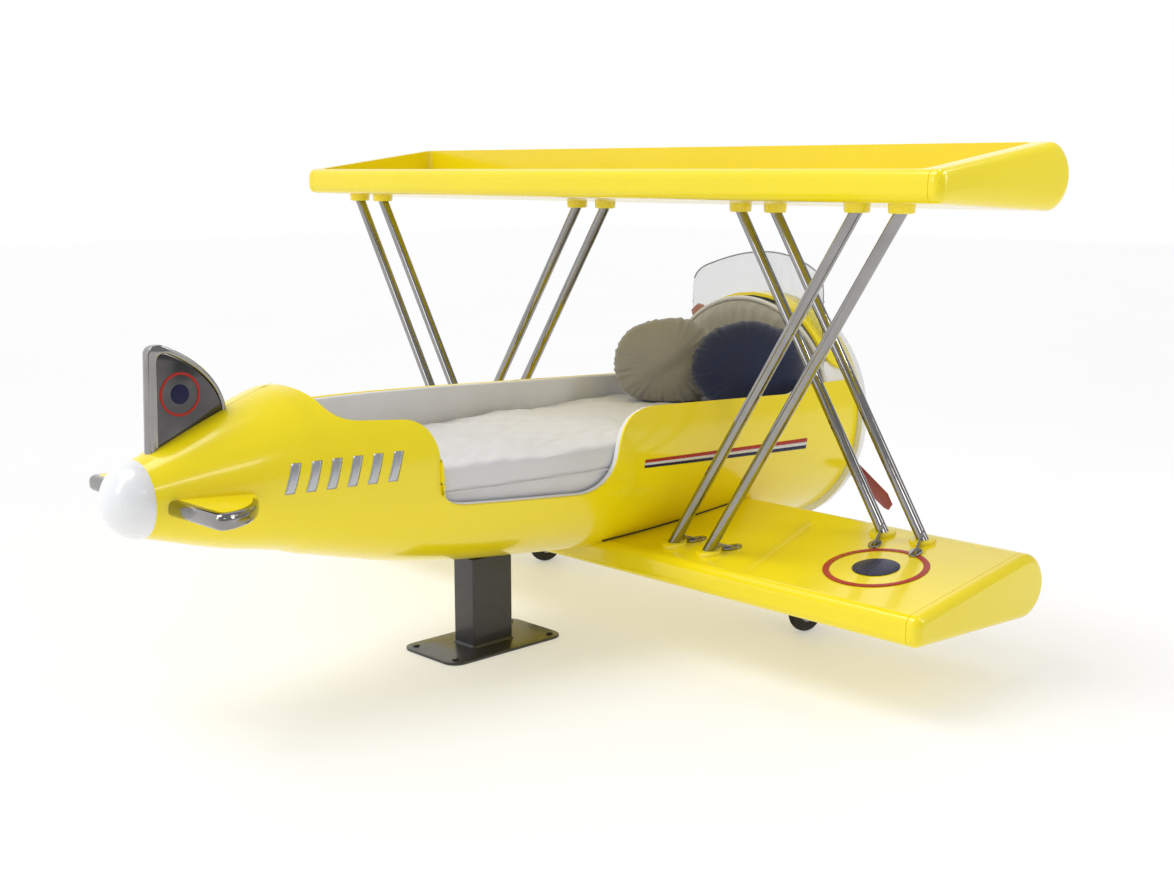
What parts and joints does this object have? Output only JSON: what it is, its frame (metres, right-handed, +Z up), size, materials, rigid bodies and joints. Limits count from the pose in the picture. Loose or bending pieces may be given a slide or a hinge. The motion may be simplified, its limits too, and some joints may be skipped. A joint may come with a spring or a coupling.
{
  "type": "biplane shaped child's bed",
  "caption": "Yellow child's bed shaped like a biplane: tub hull with a mattress, wings joined by crossed struts, a tail, wheels and a turning propeller.",
  "frame": {"origin": "on the floor, under the middle of the whole object's box", "axes": "+X towards the nose, +Y to port, +Z up"},
  "size_m": [3.2403, 3.2, 1.763],
  "materials": {
    "yellow_gelcoat": "gloss",
    "white_gelcoat": "gloss",
    "chrome": "polished",
    "steel": "satin",
    "black_paint": "satin",
    "red_paint": "gloss",
    "clear_screen": "clear",
    "tyre_rubber": "matte",
    "plywood": "satin",
    "sheet_cotton": "matte",
    "liner_quilt": "matte",
    "pad_linen": "matte",
    "taupe_satin": "satin",
    "navy_satin": "satin"
  },
  "bodies": {
    "airframe": {"bearing_housing": "steel", "bed_base": "plywood", "collar_front_port_inner": "yellow_gelcoat", "collar_front_port_outer": "yellow_gelcoat", "collar_front_starboard_inner": "yellow_gelcoat", "collar_front_starboard_outer": "yellow_gelcoat", "collar_rear_port_inner": "yellow_gelcoat", "collar_rear_port_outer": "yellow_gelcoat", "collar_rear_starboard_inner": "yellow_gelcoat", "collar_rear_starboard_outer": "yellow_gelcoat", "cushion_navy": "navy_satin", "cushion_taupe": "taupe_satin", "fin_frame": "chrome", "fin_panel": "chrome", "headboard_pad": "pad_linen", "headboard_panel": "plywood", "lower_wing_port": "yellow_gelcoat", "lower_wing_starboard": "yellow_gelcoat", "lower_wing_tip_port": "yellow_gelcoat", "lower_wing_tip_starboard": "yellow_gelcoat", "mattress": "sheet_cotton", "nose_face": "white_gelcoat", "nose_ring": "white_gelcoat", "nose_shell": "yellow_gelcoat", "pedestal_base": "black_paint", "pedestal_post": "black_paint", "strut_front_port_inner": "chrome", "strut_front_port_outer": "chrome", "strut_front_starboard_inner": "chrome", "strut_front_starboard_outer": "chrome", "strut_rear_port_inner": "chrome", "strut_rear_port_outer": "chrome", "strut_rear_starboard_inner": "chrome", "strut_rear_starboard_outer": "chrome", "tail_dome": "white_gelcoat", "tail_shell": "yellow_gelcoat", "tailplane_edge_port": "chrome", "tailplane_edge_starboard": "chrome", "tailplane_root_port": "yellow_gelcoat", "tailplane_root_starboard": "yellow_gelcoat", "tub_shell": "yellow_gelcoat", "upper_wing": "yellow_gelcoat", "upper_wing_tip_port": "yellow_gelcoat", "upper_wing_tip_starboard": "yellow_gelcoat", "wall_liner_port": "liner_quilt", "wall_liner_starboard_front": "liner_quilt", "wall_liner_starboard_rear": "liner_quilt", "wheel_fork_port": "black_paint", "wheel_fork_starboard": "black_paint", "windscreen": "clear_screen", "wing_spar": "steel"},
    "propeller": {"propeller_blade_one": "red_paint", "propeller_blade_two": "red_paint", "propeller_hub": "steel", "propeller_shaft": "steel", "spinner": "chrome"},
    "wheel_port": {"tyre_port": "tyre_rubber", "wheel_hub_port": "steel"},
    "wheel_starboard": {"tyre_starboard": "tyre_rubber", "wheel_hub_starboard": "steel"}
  },
  "joints": [
    {"name": "propeller_spin", "type": "hinge", "parent": "airframe", "child": "propeller", "pos_m": [1.512, 0, 0.696], "axis": [1, 0, 0], "continuous": true},
    {"name": "wheel_port_spin", "type": "hinge", "parent": "airframe", "child": "wheel_port", "pos_m": [0.754, 0.712, 0.088], "axis": [0, 1, 0], "continuous": true},
    {"name": "wheel_starboard_spin", "type": "hinge", "parent": "airframe", "child": "wheel_starboard", "pos_m": [0.754, -0.712, 0.088], "axis": [0, 1, 0], "continuous": true}
  ]
}
